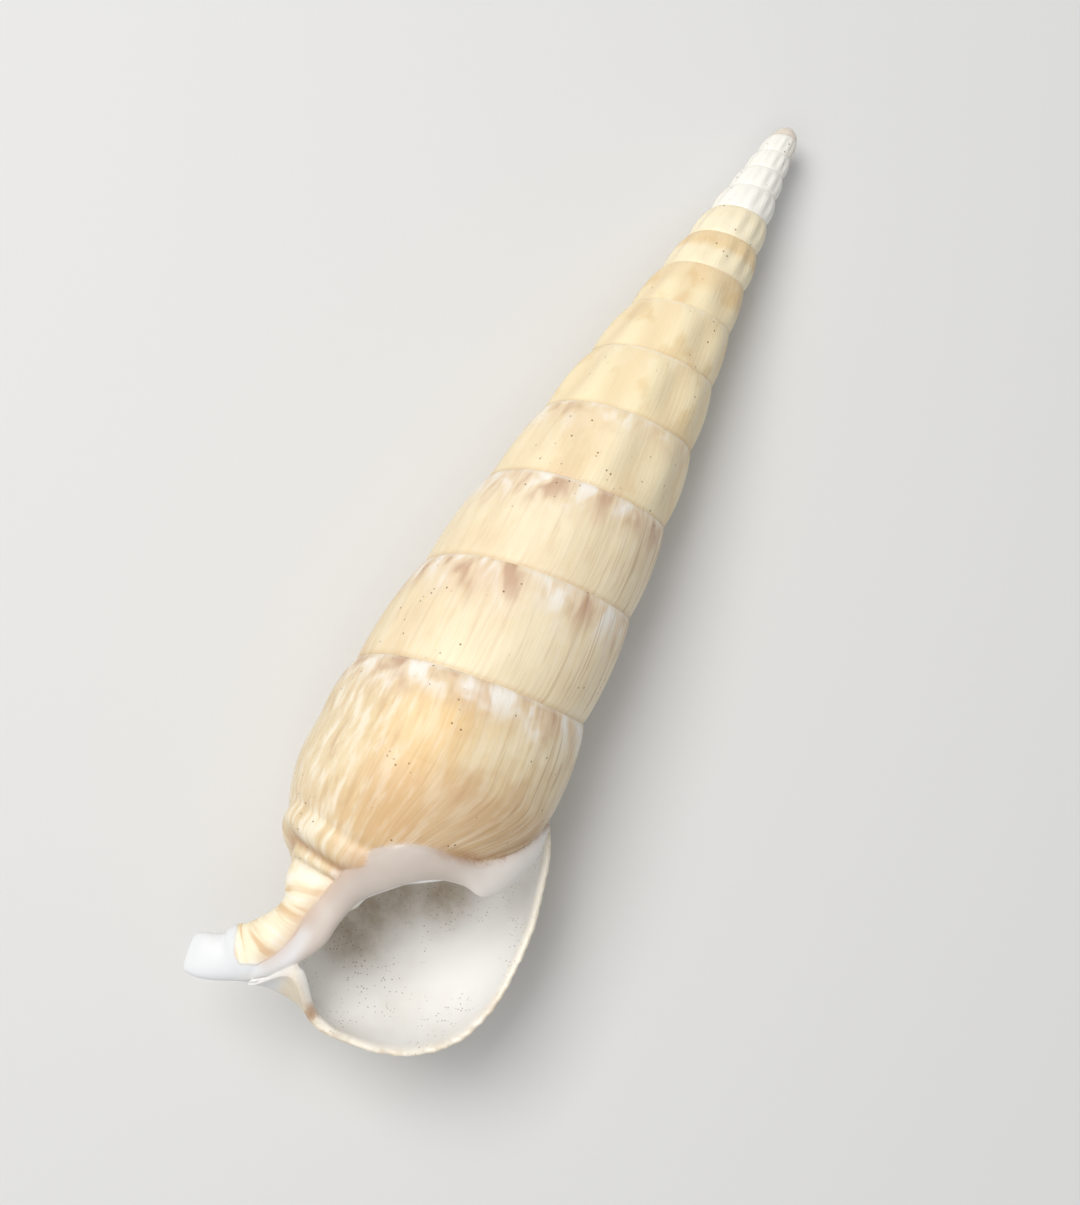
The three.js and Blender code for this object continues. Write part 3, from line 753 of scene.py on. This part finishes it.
# Fine growth lines, strongest on the right and fainter on the upper whorls.
fine = cloud(on_growth(150, 1.1, 7), 3, 0.55, 0.3)
right = ramp(math_node("SINE", math_node("MULTIPLY_ADD", turn, 2 * math.pi, 1.2)), -0.2, 0.9)
fainter = math_node("MULTIPLY_ADD", ramp(turn, 2.2, 4.2), -0.5, 1.0)
lines = product(math_node("MULTIPLY_ADD", right, 0.38, 0.12), fainter)
outside = paint(outside, tint("A57D55"), product(ramp(fine, 0.52, 0.68), lines))
outside = paint(outside, tint("FFF6E2"), product(ramp(fine, 0.47, 0.33), lines, 0.8))
# The early whorls are yellower and plainer, and the first ones are white.
early = paint(tint("FBEBC2"), tint("F0D7A6"), ramp(patches, 0.5, 0.65))
outside = paint(outside, early, product(ramp(turn, 3.0, 4.6), 0.8))
outside = paint(outside, tint("DDB47E"), product(attribute("dip"), 0.22))
outside = paint(outside, tint("E6C088"), product(ramp(turn, 6.3, 7.0), ramp(share, 0.7, 0.3), 0.5))
outside = paint(outside, tint("FBEFCF"), product(ramp(turn, 7.2, 7.6), ramp(share, 0.35, 0.6), 0.7))
outside = paint(outside, tint("FBF0D2"), product(ramp(turn, 8.35, 8.45), 0.85))
outside = paint(outside, tint("FDFBF4"), product(ramp(turn, 9.3, 9.6), 0.9))
outside = paint(outside, tint("E3CBB2"), product(ramp(turn, 12.75, 13.1), 0.5))
# Each whorl's upper edge is a thin whitish line, and the whorl above it ends in a thin band of painted shade
# where it overhangs the suture.
above_last = ramp(turn, 1.2, 1.5)
upper_edge = product(ramp(share, 0.06, 0.01), ramp(turn, 0.2, 0.6), ramp(turn, 9, 4))
outside = paint(outside, tint("FBF0DC"), product(upper_edge, ramp(patches, 0.6, 0.4), 0.7))
# Painted shade just above each suture.
outside = paint(outside, tint("B48A5A"), product(ramp(share, 0.94, 1.0), above_last, ramp(turn, 9, 5), 0.25))
# Outside, the lip is pale.
outside = paint(outside, tint("F3E7CF"), product(attribute("lip"), 0.8))
# The grooves of the fasciole are browner.
cords = product(ramp(turn, 0.45, 0.52), ramp(turn, 0.8, 0.7), attribute("groove"))
outside = paint(outside, tint("B07C48"), product(cords, 0.6))

# The neck of the canal is cream with brown streaks across it, and its tongue is white.
lengthwise = tree.nodes.new("ShaderNodeCombineXYZ")
feed(lengthwise.inputs[0], product(attribute("along"), 26))
around_neck = tree.nodes.new("ShaderNodeVectorMath")
around_neck.operation = "ADD"
feed(around_neck.inputs[0], lengthwise.outputs[0])
feed(around_neck.inputs[1], on_place(190))
streaks = cloud(around_neck.outputs[0], 2, 0.5, 0.3)
neck = paint(tint("FCF1D3"), tint("DDB27C"), product(ramp(streaks, 0.48, 0.7), 0.7))
neck = paint(neck, tint("FFF9EC"), product(ramp(streaks, 0.46, 0.34), 0.7))
surface = paint(outside, neck, attribute("neck"))
# The mouth is white porcelain with a speckled brown painted shade under the callus. The callus has painted
# shade in its middle, which faces down, and painted light at its right end, which faces the light.
porcelain = paint(tint("FFFEFB"), tint("F3EEE4"), product(ramp(cloud(on_place(90), 3), 0.45, 0.7), 0.5))
glaze = paint(tint("DCD0C5"), tint("EAE2D9"), ramp(cloud(on_place(120, (2, 5, 1)), 2), 0.4, 0.65))
place_parts = tree.nodes.new("ShaderNodeSeparateXYZ")
feed(place_parts.inputs[0], place)
to_right = place_parts.outputs[0]
# Painted shade on the callus's middle, turned down, and painted light on its right end, turned to the light.
shaded_middle = product(ramp(to_right, -0.008, -0.003), ramp(to_right, 0.009, 0.004))
glaze = paint(glaze, tint("C6B8AC"), product(shaded_middle, 0.65))
glaze = paint(glaze, tint("F4EEE7"), product(ramp(to_right, 0.006, 0.01), 0.7))
# Painted shade in the bowl under the callus, broken into speckles.
shade_speckle = ramp(cloud(on_place(330, (3, 3, 7)), 4, 0.65), 0.3, 0.65)
shaded = product(attribute("shade"), math_node("MULTIPLY_ADD", shade_speckle, 0.25, 0.6))
porcelain = paint(porcelain, tint("9C886C"), shaded)
surface = paint(surface, porcelain, attribute("mouth"))
surface = paint(surface, glaze, attribute("callus"))
surface = paint(surface, tint("E9EAEB"), attribute("tip"))
# Stains: brown blots on the pale edge of the lip. A rosy line by the neck is partly tan and partly painted
# shadow of the callus's edge, and beside the callus's upper edge lies a mottled painted shadow.
mottle = ramp(cloud(on_place(260, (7, 3, 5)), 4, 0.65), 0.45, 0.62)
surface = paint(surface, tint("F6ECD6"), product(attribute("rim"), 0.7))
surface = paint(surface, tint("C29A66"), product(attribute("rim"), mottle, 0.3))
blots = ramp(cloud(on_place(400, (1, 7, 2)), 3), 0.42, 0.6)
surface = paint(surface, tint("A9743C"), product(attribute("mottle"), blots, 0.8))
# Rosy tan line by the neck, partly painted shadow of the callus's edge.
surface = paint(surface, tint("C7A084"), product(attribute("rose_and_edge_shade"), 0.4))
# Painted shadow beside the callus, mottled.
edge_shadow = product(attribute("callus_edge_shadow"), math_node("MULTIPLY_ADD", mottle, 0.6, 0.25))
surface = paint(surface, tint("A97A4E"), edge_shadow)


def specks(scale, size, rarity, layer):
    """Small round dots, one in a cell, and only in cells whose random value is above the rarity."""
    node = tree.nodes.new("ShaderNodeTexVoronoi")
    node.inputs["Scale"].default_value = 1
    feed(node.inputs["Vector"], on_place(scale, layer))
    chosen = tree.nodes.new("ShaderNodeSeparateColor")
    feed(chosen.inputs[0], node.outputs["Color"])
    dot = ramp(node.outputs["Distance"], size, size * 0.5)
    return product(dot, ramp(chosen.outputs[0], rarity, rarity + 0.02))


# Sand has caught in the bowl, and pits gather in places outside.
sandy = ramp(cloud(on_place(150, (4, 2, 6)), 3), 0.42, 0.6)
grains = math_node("MAXIMUM", specks(2600, 0.34, 0.7, (2, 8, 1)), specks(1500, 0.2, 0.85, (6, 3, 2)))
sand = product(grains, attribute("mouth"), sandy)
surface = paint(surface, tint("8A6A48"), product(sand, 0.7))
crowded = ramp(cloud(on_place(110, (9, 1, 4)), 3), 0.52, 0.6)
gathered = product(specks(1500, 0.24, 0.8, (1, 2, 3)), crowded)
pits = math_node("MAXIMUM", gathered, specks(700, 0.11, 0.94, (5, 4, 9)))
pits = product(pits, math_node("SUBTRACT", 1.0, attribute("mouth")))
surface = paint(surface, tint("6E4A2C"), product(pits, 0.75))

# Mouth and callus are glossy, the outside is satin with a low relief of growth lines, wrinkles and pits.
feed(shader.inputs["Base Color"], surface)
gloss = math_node("MAXIMUM", attribute("mouth"), attribute("callus"))
dull = product(math_node("MULTIPLY_ADD", fine, 0.14, 0.14), math_node("SUBTRACT", 1.0, gloss))
feed(shader.inputs["Roughness"], math_node("ADD", dull, 0.22))
shader.inputs["IOR"].default_value = 1.5
wrinkled = product(wrinkles, math_node("MULTIPLY_ADD", crowd, 1.2, 0.3))
relief = math_node("MULTIPLY_ADD", fine, 0.5, wrinkled)
plain = math_node("MAXIMUM", math_node("MAXIMUM", gloss, attribute("tip")), attribute("neck"))
relief = product(relief, math_node("SUBTRACT", 1.0, plain))
relief = math_node("SUBTRACT", relief, product(pits, 0.6))
bumps = tree.nodes.new("ShaderNodeBump")
bumps.inputs["Strength"].default_value = 0.6
bumps.inputs["Distance"].default_value = 0.00025
feed(bumps.inputs["Height"], relief)
feed(shader.inputs["Normal"], bumps.outputs[0])

mesh.materials.clear()
mesh.materials.append(lime)
mesh.polygons.foreach_set("material_index", [0] * len(mesh.polygons))
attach(shell, "root")
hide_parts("shell")


# Table, light and camera. The shell lies on a plain pale table under a soft window light from the left
# and a weaker soft light from the front, and the camera looks at it as in the photo.
TABLE_SIZE = 3
TABLE_COLOUR = (0.72, 0.72, 0.71, 1)
bpy.ops.mesh.primitive_plane_add(size=TABLE_SIZE, location=(0, 0, 0))
floor = bpy.context.active_object
floor.name = "table"
floor_material = bpy.data.materials.new("pale table")
floor_material.use_nodes = True
floor_shader = floor_material.node_tree.nodes["Principled BSDF"]
floor_shader.inputs["Base Color"].default_value = TABLE_COLOUR
floor_shader.inputs["Roughness"].default_value = 0.7
floor.data.materials.append(floor_material)

# The camera's place, tilt and roll are given in the shell's own millimetres, before it is laid down.
PHOTO_FOCAL = 53.78
CAMERA_PLACE = Vector((1.79, -41.08, 225.55))
CAMERA_TILT = math.radians(13.03)
CAMERA_ROLL = math.radians(29.19)
camera_data = bpy.data.cameras.new("camera")
camera_data.lens = PHOTO_FOCAL
camera_data.clip_start = 0.01
camera = bpy.data.objects.new("camera", camera_data)
bpy.context.scene.collection.objects.link(camera)
turned = Matrix.Rotation(CAMERA_TILT, 4, "X") @ Matrix.Rotation(CAMERA_ROLL, 4, "Z")
placed = rest @ Matrix.Translation(CAMERA_PLACE) @ turned
placed.translation = placed.translation / 1000
camera.matrix_world = placed
bpy.context.scene.camera = camera


def lamp(name, size, power, place, target=(0, 0, 0.01), colour=(1, 1, 1)):
    data = bpy.data.lights.new(name, "AREA")
    data.size = size
    data.energy = power
    data.color = colour
    made = bpy.data.objects.new(name, data)
    made.location = place
    made.rotation_euler = (Vector(target) - Vector(place)).to_track_quat("-Z", "Y").to_euler()
    bpy.context.scene.collection.objects.link(made)


lamp("window", 0.4, 3.2, (-0.32, 0.06, 0.62), colour=(1.0, 0.98, 0.95))
lamp("room", 0.8, 2.4, (-0.05, -0.4, 0.84), colour=(0.98, 0.98, 1.0))
world = bpy.data.worlds.new("room light")
bpy.context.scene.world = world
world.use_nodes = True
world.node_tree.nodes["Background"].inputs["Color"].default_value = (0.95, 0.97, 1.0, 1)
world.node_tree.nodes["Background"].inputs["Strength"].default_value = 0.33
bpy.context.scene.view_settings.view_transform = "Standard"
